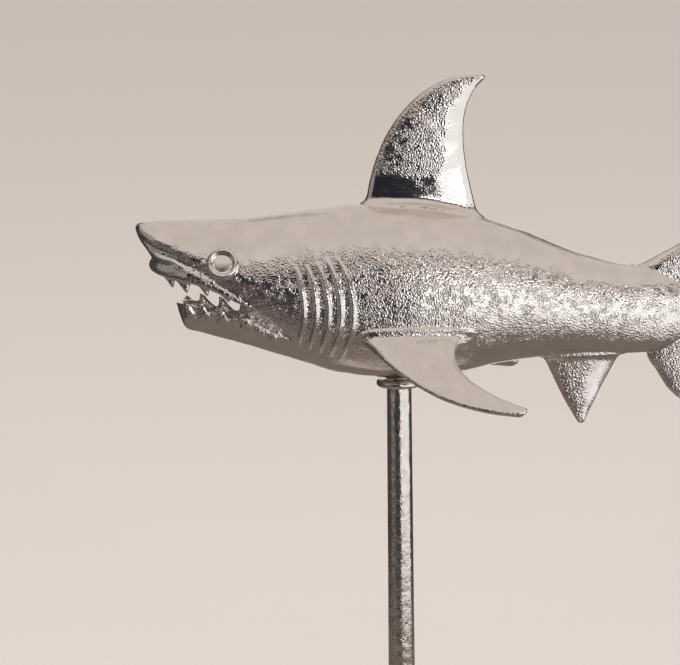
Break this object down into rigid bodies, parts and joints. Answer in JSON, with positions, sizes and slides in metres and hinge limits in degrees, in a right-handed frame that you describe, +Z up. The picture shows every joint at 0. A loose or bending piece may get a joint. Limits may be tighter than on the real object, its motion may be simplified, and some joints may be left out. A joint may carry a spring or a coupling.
{
  "type": "shark figurine on a rod stand",
  "caption": "Cast shark with open toothed jaws, gill ridges and swept fins, held level on a round rod by a collar, above a plain rectangular base plate.",
  "frame": {"origin": "on the rod's axis, at the felt's underside, where the stand rests on a table", "axes": "+Z up along the rod, the longest extent; the shark's nose points to -X; +Y across the stand, the shortest extent, square to the shark's mid-plane"},
  "size_m": [0.3414, 0.1498, 0.3779],
  "materials": {
    "cast_nickel": "raw cast, nickel plated, fine grain, bright",
    "turned_nickel": "turned, nickel plated, slightly grained",
    "plate_nickel": "cast, nickel plated, satin",
    "zinc_steel": "zinc plated fastener",
    "felt": "pressed felt, matt"
  },
  "bodies": {
    "root": {"shark": "cast_nickel", "collar": "turned_nickel", "rod": "turned_nickel", "base_plate": "plate_nickel", "stud": "zinc_steel", "base_screw": "zinc_steel", "felt_sheet": "felt"}
  },
  "joints": []
}
